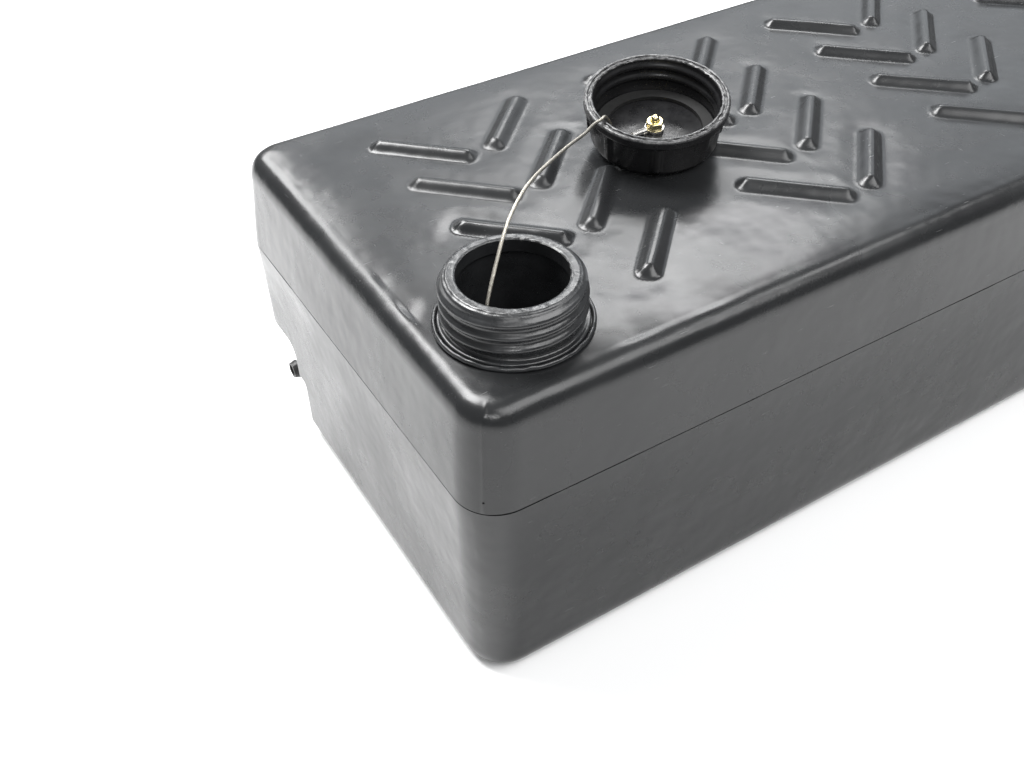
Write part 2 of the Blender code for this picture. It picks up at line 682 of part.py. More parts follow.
def tether_cable(frame, start):
    """The wire rope: up out of the neck, over in a low arch and down over the cap's rim to its bolt."""
    height = CAP_FLOOR + GAP + BARREL_RADIUS
    barrel = math.degrees(CAP_TERMINAL_AZIMUTH)
    into_cap = (
        (CAP_RIM_RADIUS + 0.0040, barrel + 9, CAP_HEIGHT + 0.0034),
        (CAP_RIM_RADIUS - 0.0020, barrel + 7, CAP_HEIGHT + 0.0022),
        (CAP_BORE_RADIUS - 0.0005, barrel + 4, CAP_HEIGHT + 0.0012),
        (CAP_BORE_RADIUS - 0.0044, barrel + 2, CAP_HEIGHT - 0.0040),
        (0.0325, barrel, CAP_HEIGHT - 0.0120),
        (0.0290, barrel, 0.0115),
        (0.0250, barrel, height + 0.0016),
        (BARREL_END + 0.0040, barrel, height + 0.0003),
        (BARREL_END + GAP, barrel, height),
    )
    route = [start, start + Vector((0, 0, 0.005))]
    route += [NECK_CENTRE + Vector(offset) for offset in CABLE_ARCH_FROM_NECK]
    for radius, degrees, level in into_cap:
        angle = math.radians(degrees)
        local = Vector((radius * math.cos(angle), radius * math.sin(angle), level))
        route.append(frame.matrix_world @ local)
    curve = bpy.data.curves.new("tether_cable", "CURVE")
    curve.dimensions = "3D"
    curve.bevel_depth = CABLE_DIAMETER / 2
    curve.bevel_resolution = 2
    curve.use_fill_caps = True
    points = smooth_route(route, 60)
    spline = curve.splines.new("POLY")
    spline.points.add(len(points) - 1)
    for point, co in zip(spline.points, points):
        point.co = (*co, 1.0)
    curve.materials.append(MATERIALS["cable_steel"])
    cable = bpy.data.objects.new("tether_cable", curve)
    PARTS.objects.link(cable)
    return cable


def outlet():
    """Insert, seal, lock nut and elbow on the recessed back wall. Their own Z runs along +Y."""
    frame = bpy.data.objects.new("outlet_frame", None)
    PARTS.objects.link(frame)
    frame.rotation_euler = (-math.pi / 2, 0, 0)
    frame.location = (OUTLET_X, RECESS_WALL_Y, OUTLET_HEIGHT)
    bpy.context.view_layer.update()
    face = INSERT_PROUD
    flat_ring(
        "outlet_insert", INSERT_BORE, INSERT_RADIUS, face - INSERT_LENGTH, face, "brass", frame
    )
    low = face + GAP
    high = low + SEAL_THICKNESS
    flat_ring("outlet_seal", INSERT_BORE, SEAL_RADIUS, low, high, "seal_rubber", frame)
    low = high + GAP
    nut_high = low + LOCK_NUT_HEIGHT
    nut = hexagon("outlet_lock_nut", LOCK_NUT_FLATS, low, nut_high, "fitting_plastic", frame)
    boolean(nut, cylinder("lock_nut_hole", INSERT_BORE, -PAST, 3 * PAST, parent=frame))

    spigot = INSERT_BORE - SPIGOT_GAP
    corner = OUTLET_STAND_OFF
    tail = OUTLET_FROM_END - OUTLET_TAIL_END
    bend = ELBOW_RADIUS
    points = [(0, 0, face - INSERT_LENGTH + 0.002), (0, 0, nut_high + 0.0010)]
    radii = [spigot, spigot]
    points += [(0, 0, nut_high + 0.0012), (0, 0, corner - bend - 0.001)]
    radii += [ELBOW_RADIUS, ELBOW_RADIUS]
    for index in range(1, 6):
        angle = math.pi / 2 * index / 6
        x = -bend * (1 - math.cos(angle))
        points.append((x, 0, corner - bend * (1 - math.sin(angle))))
        radii.append(ELBOW_RADIUS)
    points += [(-bend - 0.002, 0, corner), (-bend - 0.0025, 0, corner)]
    radii += [ELBOW_RADIUS, TAIL_RADIUS]
    for index in range(BARB_COUNT):
        root = tail - (BARB_COUNT - index) * BARB_PITCH
        points += [(-root, 0, corner), (-root - 0.0002, 0, corner)]
        radii += [TAIL_RADIUS, BARB_RADIUS]
    points.append((-tail, 0, corner))
    radii.append(TAIL_RADIUS - 0.0002)
    elbow = tube_mesh("outlet_elbow", points, radii, "fitting_plastic", frame, 6)
    bore = [(0, 0, face - INSERT_LENGTH - 0.003), (0, 0, corner - bend)]
    for index in range(1, 6):
        angle = math.pi / 2 * index / 6
        x = -bend * (1 - math.cos(angle))
        bore.append((x, 0, corner - bend * (1 - math.sin(angle))))
    bore += [(-bend, 0, corner), (-tail - 0.003, 0, corner)]
    cutter = tube_mesh("elbow_bore", bore, [ELBOW_BORE] * len(bore), parent=frame, resolution=6)
    boolean(elbow, cutter)


def main():
    tank_shells()
    seam_weld()
    filler_neck()
    frame = cap_frame()
    filler_cap(frame)
    cap_hardware(frame)
    start = anchor()
    tether_cable(frame, start)
    outlet()


main()
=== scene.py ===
import json
import math

import bpy
from mathutils import Matrix, Vector, noise


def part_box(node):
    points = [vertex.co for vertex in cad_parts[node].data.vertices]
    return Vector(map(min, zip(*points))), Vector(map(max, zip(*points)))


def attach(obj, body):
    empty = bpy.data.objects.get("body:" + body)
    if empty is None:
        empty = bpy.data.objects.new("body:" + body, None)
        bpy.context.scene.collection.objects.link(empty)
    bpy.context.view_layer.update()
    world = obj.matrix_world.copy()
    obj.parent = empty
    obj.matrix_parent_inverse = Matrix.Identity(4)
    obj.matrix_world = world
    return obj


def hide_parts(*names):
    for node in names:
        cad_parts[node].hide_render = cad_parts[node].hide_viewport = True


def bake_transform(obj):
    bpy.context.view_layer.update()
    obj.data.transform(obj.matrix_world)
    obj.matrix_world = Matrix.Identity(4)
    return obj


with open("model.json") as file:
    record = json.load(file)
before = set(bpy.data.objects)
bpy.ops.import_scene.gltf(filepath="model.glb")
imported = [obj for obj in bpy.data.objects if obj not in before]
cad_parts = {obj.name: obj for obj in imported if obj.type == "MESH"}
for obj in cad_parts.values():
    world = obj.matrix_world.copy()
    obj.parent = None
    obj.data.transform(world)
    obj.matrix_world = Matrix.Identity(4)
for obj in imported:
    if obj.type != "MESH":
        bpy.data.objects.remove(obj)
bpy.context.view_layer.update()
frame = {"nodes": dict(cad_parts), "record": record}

MM = 0.001
GAP = 0.3 * MM  # left between pieces that touch

# ---------------------------------------------------------------- sizes taken from the frame

UPPER_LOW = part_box("tank_upper_shell")[0]
LOWER_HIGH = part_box("tank_lower_shell")[1]
NECK_LOW, NECK_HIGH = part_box("filler_neck")
BEAD_LOW, BEAD_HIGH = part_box("neck_weld_bead")
HALF_LENGTH = LOWER_HIGH.x
HALF_WIDTH = LOWER_HIGH.y
TOP = BEAD_LOW.z - GAP
SEAM_TOP = UPPER_LOW.z
SEAM_LOW = LOWER_HIGH.z
NECK = Vector(((BEAD_LOW.x + BEAD_HIGH.x) / 2, (BEAD_LOW.y + BEAD_HIGH.y) / 2, TOP))
LIP_TOP = NECK_HIGH.z
WALL = 5 * MM
CORNER = 26 * MM
UPPER_LEAN = 4.2 * MM
UPPER_EDGE = 15 * MM
LOWER_LEAN = 0.8 * MM
LOWER_EDGE = 13 * MM

RIB_COLUMNS = 4
RIB_ROWS = 4
RIB_COLUMN_PITCH = 169 * MM
RIB_ROW_PITCH = 56 * MM
RIB_FIRST_FROM_END = 131.7 * MM
RIB_FIRST_FROM_BACK = 105.5 * MM
RIB_PAIR_SHIFT = (12.9 * MM, 2.6 * MM)
RIB_HALF_LENGTH = 36.5 * MM
RIB_HALF_WIDTH = 7.8 * MM
RIB_HEIGHT = 5.0 * MM
RIB_SLOPE = 6.0 * MM

RECESS_DEPTH = 57 * MM
RECESS_HEIGHT = 76 * MM
STEP_DEPTH = 10 * MM
STEP_HEIGHT = 48 * MM
OUTLET_FROM_END = 36 * MM
OUTLET_FROM_BACK = 67 * MM
OUTLET_HEIGHT = 41.2 * MM

NECK_BORE = 32.0 * MM
NECK_SPIGOT = 36.0 * MM
NECK_WALL_OUTSIDE = 37.4 * MM
NECK_FLANGE = 41.2 * MM
THREAD_PITCH = 7.8 * MM

CAP_HEIGHT = 30 * MM
CAP_FLOOR = 4 * MM
CAP_RIM = 46.0 * MM
CAP_BORE = 40.4 * MM
CAP_LUGS = 8
HEX_FLATS = 10 * MM

TURN = next(j for j in frame["record"]["behaviour"]["joints"] if j["name"] == "cap_turn")
CAP_BASE = Vector(TURN["pos_m"])
CAP_UP = Vector(TURN["axis"]).normalized()
CAP_TILT = Vector((0, 0, 1)).rotation_difference(CAP_UP).to_matrix().to_4x4()
CAP_PLACE = Matrix.Translation(CAP_BASE) @ CAP_TILT

# ---------------------------------------------------------------- camera

CAMERA_PLACE = (-0.5604, -0.4909, 0.5730)
YAW = math.radians(30.23)
DOWN = math.radians(41.89)
ROLL = math.radians(-1.74)

camera_data = bpy.data.cameras.new("camera")
camera_data.lens = 38.42
camera_data.sensor_width = 36
camera_data.clip_start = 0.01
camera = bpy.data.objects.new("camera", camera_data)
bpy.context.scene.collection.objects.link(camera)
ahead = Vector((math.sin(YAW) * math.cos(DOWN), math.cos(YAW) * math.cos(DOWN), -math.sin(DOWN)))
level = Vector((math.cos(YAW), -math.sin(YAW), 0))
above = level.cross(ahead)
side = level * math.cos(ROLL) + above * math.sin(ROLL)
upright = above * math.cos(ROLL) - level * math.sin(ROLL)
facing = Matrix((side, upright, -ahead)).transposed().to_4x4()
camera.matrix_world = Matrix.Translation(CAMERA_PLACE) @ facing
bpy.context.scene.camera = camera

# ---------------------------------------------------------------- tools for every piece


def fresh():
    """Leaves nothing selected before a new piece is started."""
    if bpy.context.mode != "OBJECT":
        bpy.ops.object.mode_set(mode="OBJECT")
    bpy.ops.object.select_all(action="DESELECT")


def active(name):
    """The piece that was just made, with its name."""
    piece = bpy.context.object
    piece.name = name
    piece.data.name = name
    return piece


def only(piece):
    """Makes this the one selected and active piece."""
    fresh()
    piece.select_set(True)
    bpy.context.view_layer.objects.active = piece


def settle(piece):
    """Puts the piece's place, turn and scale into its mesh."""
    only(piece)
    bpy.ops.object.transform_apply(location=True, rotation=True, scale=True)


def use(piece, kind, **settings):
    """Adds one modifier and applies it."""
    only(piece)
    modifier = piece.modifiers.new(kind.lower(), kind)
    for key, value in settings.items():
        setattr(modifier, key, value)
    bpy.ops.object.modifier_apply(modifier=modifier.name)


def cut(piece, cutter, operation="DIFFERENCE"):
    """Takes the cutter away from the piece, or joins or crosses them, and deletes the cutter."""
    use(piece, "BOOLEAN", operation=operation, object=cutter)
    bpy.data.objects.remove(cutter)


def soften(piece, angle):
    """Shades smooth over every edge that turns by less than the angle, in degrees."""
    only(piece)
    bpy.ops.object.shade_smooth_by_angle(angle=math.radians(angle))


def tidy_mesh(piece):
    """Joins doubled points and faces everything outward."""
    only(piece)
    bpy.ops.object.mode_set(mode="EDIT")
    bpy.ops.mesh.select_all(action="SELECT")
    bpy.ops.mesh.remove_doubles(threshold=0.01 * MM)
    bpy.ops.mesh.normals_make_consistent(inside=False)
    bpy.ops.object.mode_set(mode="OBJECT")


def reshape(piece, move):
    """Moves each point of the piece to where move(point) says."""
    for vert in piece.data.vertices:
        vert.co = move(vert.co)
    piece.data.update()


def put(piece, matrix):
    """Moves the piece's mesh and leaves its origin where it was."""
    piece.data.transform(matrix)
    piece.data.update()


def turned(name, outline, steps):
    """Spins a closed outline of (radius, height) points round Z in edit mode."""
    fresh()
    bpy.ops.mesh.primitive_circle_add(vertices=len(outline), radius=0.01, fill_type="NOTHING")
    piece = active(name)
    for vert, (radius, height) in zip(piece.data.vertices, outline):
        vert.co = (radius, 0, height)
    bpy.ops.object.mode_set(mode="EDIT")
    bpy.ops.mesh.select_all(action="SELECT")
    bpy.ops.mesh.spin(steps=steps, angle=2 * math.pi, center=(0, 0, 0), axis=(0, 0, 1))
    bpy.ops.object.mode_set(mode="OBJECT")
    tidy_mesh(piece)
    return piece


def finer(outline, step):
    """The outline again, with points no further apart than step."""
    points = []
    for first, second in zip(outline, outline[1:] + outline[:1]):
        a, b = Vector(first), Vector(second)
        count = max(1, math.ceil((b - a).length / step))
        points += [tuple(a.lerp(b, i / count)) for i in range(count)]
    return points


def smoothstep(low, high, value):
    """Runs smoothly from 0 at low to 1 at high."""
    t = min(max((value - low) / (high - low), 0), 1)
    return t * t * (3 - 2 * t)


def soft_ramp(t, ease):
    """Runs from 0 to 1 as t does, with its two corners rounded."""

    def area(x):
        if x <= 0:
            return 0
        return x * x / 2 if x < 1 else x - 0.5

    return (area(t + ease) - area(t - ease)) / (2 * ease)


def waves(point, size, seed):
    """Smooth noise from about -1 to 1, with cells of that size."""
    return noise.noise(Vector(point) / size + Vector((seed, seed * 1.7, -seed)))


# ---------------------------------------------------------------- materials


class Finish:
    """A Principled material with a few helpers for its nodes."""

    def __init__(self, name, roughness=0.5, metallic=0.0, **sockets):
        self.material = bpy.data.materials.new(name)
        self.material.use_nodes = True
        self.tree = self.material.node_tree
        self.shader = self.tree.nodes["Principled BSDF"]
        self.shader.inputs["Roughness"].default_value = roughness
        self.shader.inputs["Metallic"].default_value = metallic
        for key, value in sockets.items():
            self.shader.inputs[key.replace("_", " ")].default_value = value
        self.place = self.node("ShaderNodeTexCoord").outputs["Object"]

    def node(self, kind, **settings):
        node = self.tree.nodes.new(kind)
        for key, value in settings.items():
            setattr(node, key, value)
        return node

    def link(self, source, target):
        self.tree.links.new(source, target)

    def noise(self, scale, detail, roughness, stretch=None):
        """Noise of that many cells a metre, and stretched along an axis if asked."""
        texture = self.node("ShaderNodeTexNoise")
        texture.inputs["Scale"].default_value = scale
        texture.inputs["Detail"].default_value = detail
        texture.inputs["Roughness"].default_value = roughness
        self.link(self.stretched(stretch), texture.inputs["Vector"])
        return texture.outputs["Fac"]

    def stretched(self, stretch):
        """The place scaled by the first three values, and turned by the next three if given."""
        if not stretch:
            return self.place
        mapping = self.node("ShaderNodeMapping")
        self.link(self.place, mapping.inputs["Vector"])
        mapping.inputs["Scale"].default_value = stretch[:3]
        if len(stretch) > 3:
            mapping.inputs["Rotation"].default_value = stretch[3:]
        return mapping.outputs["Vector"]

    def ramp(self, source, stops):
        """Maps a value to the colours at the stops."""
        ramp = self.node("ShaderNodeValToRGB")
        elements = ramp.color_ramp.elements
        while len(elements) < len(stops):
            elements.new(0.5)
        for element, (position, value) in zip(elements, stops):
            element.position = position
            element.color = (*value, 1)
        self.link(source, ramp.inputs["Fac"])
        return ramp.outputs["Color"]

    def grey_ramp(self, source, low, high, start=0.0, end=1.0):
        """Maps low and high to start and end, and holds it there past them."""
        ranged = self.node("ShaderNodeMapRange")
        ranged.inputs["From Min"].default_value = low
        ranged.inputs["From Max"].default_value = high
        ranged.inputs["To Min"].default_value = start
        ranged.inputs["To Max"].default_value = end
        self.link(source, ranged.inputs["Value"])
        return ranged.outputs["Result"]

    def math(self, operation, first, second):
        node = self.node("ShaderNodeMath", operation=operation)
        for slot, value in zip(node.inputs, (first, second)):
            if isinstance(value, (int, float)):
                slot.default_value = value
            else:
                self.link(value, slot)
        return node.outputs["Value"]

    def mix(self, factor, first, second):
        node = self.node("ShaderNodeMix", data_type="RGBA")
        for slot, value in ((node.inputs[0], factor), (node.inputs[6], first), (node.inputs[7], second)):
            if isinstance(value, (int, float, tuple)):
                slot.default_value = value
            else:
                self.link(value, slot)
        return node.outputs[2]

    def colour(self, source):
        self.link(source, self.shader.inputs["Base Color"])

    def roughness(self, source):
        self.link(source, self.shader.inputs["Roughness"])

    def bump(self, layers):
        """Bumps from (height, strength, distance) layers, one on top of another."""
        last = None
        for height, strength, distance in layers:
            bump = self.node("ShaderNodeBump")
            bump.inputs["Strength"].default_value = strength
            bump.inputs["Distance"].default_value = distance
            self.link(height, bump.inputs["Height"])
            if last:
                self.link(last, bump.inputs["Normal"])
            last = bump.outputs["Normal"]
        self.link(last, self.shader.inputs["Normal"])


def tank_plastic():
    """Dark moulded polyethylene: soft gloss, clouded skin, fine scratches, and rubbed specks on its edges."""
    f = Finish("tank_plastic", roughness=0.28, Specular_IOR_Level=0.38)
    dark, light = (0.0095, 0.0100, 0.0106), (0.0160, 0.0166, 0.0174)
    base = f.ramp(f.noise(7, 4, 0.55), [(0.3, dark), (0.7, light)])
    scratch_a = f.noise(60, 2, 0.5, (1, 14, 14, 0, 0, 0.9))
    scratch_b = f.noise(75, 2, 0.5, (13, 1, 13, 0, 0, 0.35))
    lines = f.math("MAXIMUM", f.grey_ramp(scratch_a, 0.73, 0.79), f.grey_ramp(scratch_b, 0.74, 0.80))
    dust = f.grey_ramp(f.noise(900, 2, 0.6), 0.76, 0.82)
    marks = f.math("MAXIMUM", f.math("MULTIPLY", lines, 0.22), f.math("MULTIPLY", dust, 0.2))
    f.colour(f.mix(marks, base, (0.30, 0.30, 0.30, 1)))
    uneven = f.grey_ramp(f.noise(14, 5, 0.6), 0.3, 0.7, 0.20, 0.34)
    f.roughness(f.math("ADD", uneven, f.math("MULTIPLY", lines, 0.12)))
    height = f.node("ShaderNodeSeparateXYZ")
    f.link(f.place, height.inputs["Vector"])
    rising = f.grey_ramp(height.outputs["Z"], TOP - 13 * MM, TOP - 6 * MM)
    falling = f.grey_ramp(height.outputs["Z"], TOP - 3.2 * MM, TOP - 5.5 * MM)
    rubbed = f.grey_ramp(f.noise(9, 3, 0.6), 0.42, 0.56)
    rubbed_edge = f.math("MULTIPLY", f.math("MULTIPLY", rising, falling), rubbed)
    f.bump(
        [
            (f.noise(15, 3, 0.5), 0.75, 2.4 * MM),
            (f.noise(120, 3, 0.5), 0.22, 0.25 * MM),
            (f.math("MULTIPLY", f.noise(520, 3, 0.6), rubbed_edge), 0.5, 0.35 * MM),
            (f.noise(1500, 2, 0.6), 0.07, 0.05 * MM),
        ]
    )
    return f.material


def rough_weld():
    """The lumpy, duller strip where the halves were fused."""
    f = Finish("fused_weld", roughness=0.6)
    dark, light = (0.008, 0.008, 0.009), (0.035, 0.036, 0.038)
    f.colour(f.ramp(f.noise(160, 4, 0.6), [(0.35, dark), (0.7, light)]))
    f.roughness(f.grey_ramp(f.noise(300, 3, 0.6), 0.3, 0.7, 0.4, 0.75))
    f.bump([(f.noise(420, 4, 0.6), 0.7, 0.4 * MM)])
    return f.material


def neck_plastic():
    """Darker than the tank, with pale flecks where the lip was trimmed."""
    f = Finish("neck_plastic", roughness=0.28)
    base = f.ramp(f.noise(40, 4, 0.6), [(0.3, (0.010, 0.0104, 0.0110)), (0.7, (0.023, 0.024, 0.0255))])
    height = f.node("ShaderNodeSeparateXYZ")
    f.link(f.place, height.inputs["Vector"])
    lip = f.grey_ramp(height.outputs["Z"], LIP_TOP - 2.0 * MM, LIP_TOP - 0.6 * MM)
    flecks = f.grey_ramp(f.noise(420, 4, 0.75), 0.54, 0.70)
    patches = f.grey_ramp(f.noise(45, 2, 0.5), 0.48, 0.62)
    share = f.math("ADD", f.math("MULTIPLY", patches, 0.4), 0.08)
    pale = f.math("MULTIPLY", f.math("MULTIPLY", flecks, lip), share)
    f.colour(f.mix(pale, base, (0.50, 0.50, 0.49, 1)))
    f.roughness(f.grey_ramp(f.noise(70, 4, 0.6), 0.3, 0.7, 0.20, 0.38))
    f.bump([(f.noise(230, 3, 0.5), 0.5, 0.35 * MM), (f.noise(1300, 3, 0.6), 0.25, 0.08 * MM)])
    return f.material


def cap_plastic():
    """Black, with worn grey flecks round the open rim."""
    f = Finish("cap_plastic", roughness=0.3)
    base = f.ramp(f.noise(60, 4, 0.6), [(0.3, (0.005, 0.005, 0.0055)), (0.75, (0.012, 0.012, 0.013))])
    away = f.node("ShaderNodeVectorMath", operation="SUBTRACT")
    f.link(f.place, away.inputs[0])
    away.inputs[1].default_value = CAP_BASE
    up = f.node("ShaderNodeVectorMath", operation="DOT_PRODUCT")
    f.link(away.outputs["Vector"], up.inputs[0])
    up.inputs[1].default_value = CAP_UP
    rim = f.grey_ramp(up.outputs["Value"], 28.2 * MM, 29.3 * MM)
    flecks = f.grey_ramp(f.noise(300, 4, 0.7), 0.42, 0.66)
    f.colour(f.mix(f.math("MULTIPLY", f.math("MULTIPLY", flecks, rim), 0.22), base, (0.42, 0.42, 0.42, 1)))
    f.roughness(f.grey_ramp(f.noise(110, 4, 0.6), 0.3, 0.7, 0.20, 0.40))
    f.bump([(f.noise(320, 3, 0.5), 0.35, 0.25 * MM), (f.noise(1600, 2, 0.6), 0.2, 0.05 * MM)])
    return f.material


def black_rubber():
    """Dull black, with a fine grain."""
    f = Finish("black_rubber", roughness=0.7)
    f.colour(f.ramp(f.noise(240, 3, 0.6), [(0.3, (0.004, 0.004, 0.004)), (0.7, (0.009, 0.009, 0.009))]))
    f.bump([(f.noise(700, 3, 0.6), 0.3, 0.1 * MM)])
    return f.material


def fitting_plastic():
    """Moulded black nylon, duller than the tank."""
    f = Finish("fitting_plastic", roughness=0.42)
    f.colour(f.ramp(f.noise(180, 3, 0.6), [(0.3, (0.008, 0.008, 0.008)), (0.7, (0.016, 0.016, 0.016))]))
    f.roughness(f.grey_ramp(f.noise(220, 4, 0.6), 0.3, 0.7, 0.33, 0.52))
    f.bump([(f.noise(900, 2, 0.6), 0.25, 0.06 * MM)])
    return f.material


def bright_metal(name, dark, light, rough, grain=420):
    """Bare metal whose colour runs unevenly from dark to light."""
    f = Finish(name, roughness=rough, metallic=1.0)
    f.colour(f.ramp(f.noise(grain, 4, 0.6), [(0.3, dark), (0.7, light)]))
    f.roughness(f.grey_ramp(f.noise(grain * 1.7, 3, 0.6), 0.3, 0.7, rough * 0.75, rough * 1.4))
    f.bump([(f.noise(grain * 3, 2, 0.6), 0.12, 0.04 * MM)])
    return f.material


TANK = tank_plastic()
WELD = rough_weld()
NECK_FINISH = neck_plastic()
CAP_FINISH = cap_plastic()
RUBBER = black_rubber()
FITTING = fitting_plastic()
BRASS = bright_metal("yellow_brass", (0.74, 0.62, 0.32), (0.94, 0.85, 0.54), 0.22)
STEEL = bright_metal("bright_steel", (0.55, 0.54, 0.52), (0.80, 0.79, 0.77), 0.25)
ROPE = bright_metal("rope_steel", (0.24, 0.225, 0.195), (0.50, 0.475, 0.42), 0.40, 800)


def finish_piece(piece, body, material, slot, *nodes):
    """Gives the piece its material and the body it rides on, and hides the nodes it stands for. The slot
    argument is not used.
    """
    piece.data.materials.clear()
    piece.data.materials.append(material)
    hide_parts(*nodes)
    if body:
        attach(piece, body)
    return piece


# ---------------------------------------------------------------- tether, from the neck to the cap

ROPE_DIAMETER = 2 * MM
ROPE_LAY = 11 * MM
ROPE_POINTS = 520
OUTLINE_POINTS = 36
CURVE_STEPS = 24
BLEND_POINTS = (150, 400)
BARREL_RADIUS = 1.9 * MM
BARREL_END = 16.5 * MM
BARREL_ANGLE = 176
BARREL_HEIGHT = CAP_FLOOR + GAP + BARREL_RADIUS


def in_cap(radius, degrees, height):
    """A place given by its radius, angle and height in the cap."""
    angle = math.radians(degrees)
    return CAP_PLACE @ Vector((radius * math.cos(angle), radius * math.sin(angle), height))


ANCHOR_ANGLE = math.radians(211)
ANCHOR_OUT = Vector((math.cos(ANCHOR_ANGLE), math.sin(ANCHOR_ANGLE), 0))
ANCHOR_BELOW_TOP = 12.5 * MM
ANCHOR_EYE_INSET = 0.6 * MM
ROPE_START = (
    NECK
    + ANCHOR_OUT * (NECK_BORE - GAP - ANCHOR_EYE_INSET - BARREL_RADIUS)
    + Vector((0, 0, BARREL_END + GAP - ANCHOR_BELOW_TOP))
)

ROUTE = [
    ROPE_START,
    ROPE_START + Vector((0, 0, 0.005)),
    Vector((-0.3543, -0.1130, 0.2290)),
    Vector((-0.3528, -0.1120, 0.2380)),
    Vector((-0.3475, -0.1080, 0.2470)),
    Vector((-0.3415, -0.1034, 0.2550)),
    Vector((-0.3355, -0.0989, 0.2625)),
    Vector((-0.3285, -0.0935, 0.2685)),
    Vector((-0.3195, -0.0868, 0.2724)),
    Vector((-0.3090, -0.0788, 0.2740)),
    Vector((-0.2970, -0.0697, 0.2729)),
    Vector((-0.2830, -0.0591, 0.2698)),
    Vector((-0.2670, -0.0470, 0.2656)),
    Vector((-0.2500, -0.0341, 0.2606)),
    Vector((-0.2330, -0.0212, 0.2549)),
    in_cap(0.0500, BARREL_ANGLE + 9, 0.0334),
    in_cap(0.0440, BARREL_ANGLE + 7, 0.0322),
    in_cap(0.0399, BARREL_ANGLE + 4, 0.0312),
    in_cap(0.0360, BARREL_ANGLE + 2, 0.0260),
    in_cap(0.0325, BARREL_ANGLE, 0.0180),
    in_cap(0.0290, BARREL_ANGLE, 0.0115),
    in_cap(0.0250, BARREL_ANGLE, BARREL_HEIGHT + 0.0016),
    in_cap(0.0205, BARREL_ANGLE, BARREL_HEIGHT + 0.0003),
    in_cap(0.0168, BARREL_ANGLE, BARREL_HEIGHT),
]


def smooth_route(points, count):
    """Evenly spaced points on a smooth curve through the chosen ones, and the curve's length."""
    ends = [points[0] * 2 - points[1], *points, points[-1] * 2 - points[-2]]
    fine = []
    for a, b, c, d in zip(ends, ends[1:], ends[2:], ends[3:]):
        t0 = 0.0
        t1 = t0 + math.sqrt((b - a).length)
        t2 = t1 + math.sqrt((c - b).length)
        t3 = t2 + math.sqrt((d - c).length)
        for i in range(CURVE_STEPS):
            t = t1 + (t2 - t1) * i / CURVE_STEPS
            ab = a.lerp(b, (t - t0) / (t1 - t0))
            bc = b.lerp(c, (t - t1) / (t2 - t1))
            cd = c.lerp(d, (t - t2) / (t3 - t2))
            left = ab.lerp(bc, (t - t0) / (t2 - t0))
            right = bc.lerp(cd, (t - t1) / (t3 - t1))
            fine.append(left.lerp(right, (t - t1) / (t2 - t1)))
    fine.append(points[-1])
    lengths = [0.0]
    for a, b in zip(fine, fine[1:]):
        lengths.append(lengths[-1] + (b - a).length)
    even, index = [], 0
    for i in range(count):
        target = lengths[-1] * i / (count - 1)
        while index < len(fine) - 2 and lengths[index + 1] < target:
            index += 1
        share = (target - lengths[index]) / (lengths[index + 1] - lengths[index])
        even.append(fine[index].lerp(fine[index + 1], share))
    return even, lengths[-1]


def strand_outline():
    """The rope's outline across, with a lobe for each of its six strands."""
    curve = bpy.data.curves.new("rope_outline", "CURVE")
    curve.dimensions = "2D"
    lobes = curve.splines.new("POLY")
    lobes.points.add(OUTLINE_POINTS - 1)
    lobes.use_cyclic_u = True
    for index, point in enumerate(lobes.points):
        angle = 2 * math.pi * index / OUTLINE_POINTS
        radius = ROPE_DIAMETER / 2 * (0.86 + 0.14 * abs(math.cos(3 * angle)))
        point.co = (radius * math.cos(angle), radius * math.sin(angle), 0, 1)
    outline = bpy.data.objects.new("rope_outline", curve)
    bpy.context.scene.collection.objects.link(outline)
    return outline


def wire_rope():
    """Six strands laid round each other: a lobed outline swept along the route and twisted as it goes."""
    path, length = smooth_route(ROUTE, ROPE_POINTS)
    outline = strand_outline()
    curve = bpy.data.curves.new("tether_rope", "CURVE")
    curve.dimensions = "3D"
    curve.bevel_mode = "OBJECT"
    curve.bevel_object = outline
    curve.use_fill_caps = True
    curve.twist_mode = "MINIMUM"
    spline = curve.splines.new("POLY")
    spline.points.add(len(path) - 1)
    step = length / (len(path) - 1)
    for index, (point, co) in enumerate(zip(spline.points, path)):
        point.co = (*co, 1)
        point.tilt = 2 * math.pi * index * step / ROPE_LAY
    rope = bpy.data.objects.new("tether_rope", curve)
    bpy.context.scene.collection.objects.link(rope)
    only(rope)
    bpy.ops.object.convert(target="MESH")
    rope = active("tether_rope")
    bpy.data.objects.remove(outline)
    tidy_mesh(rope)
    soften(rope, 60)
    finish_piece(rope, None, ROPE, "cable_steel", "tether_cable")
    first, last = (tuple(path[index]) for index in BLEND_POINTS)
    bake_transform(rope)
    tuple(first)
    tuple(last)
    return rope


wire_rope()

# ---------------------------------------------------------------- tank skins


def rib_places():
    """Each bar's middle and the way it runs, with the one under the filler left out."""
    places = []
    clear = (BEAD_HIGH.x - BEAD_LOW.x) / 2 + RIB_HALF_WIDTH
    for column in range(RIB_COLUMNS):
        for row in range(RIB_ROWS):
            tip = Vector((RIB_FIRST_FROM_END - HALF_LENGTH, HALF_WIDTH - RIB_FIRST_FROM_BACK))
            tip += Vector((RIB_COLUMN_PITCH * column, -RIB_ROW_PITCH * row))
            for start, degrees in ((tip, 135), (tip + Vector(RIB_PAIR_SHIFT), 45)):
                angle = math.radians(degrees)
                along = Vector((math.cos(angle), math.sin(angle)))
                away = NECK.to_2d() - start
                nearest = min(max(away.dot(along), 0), 2 * RIB_HALF_LENGTH)
                if (away - along * nearest).length > clear:
                    places.append((start + along * RIB_HALF_LENGTH, along))
    return places


RIBS = rib_places()


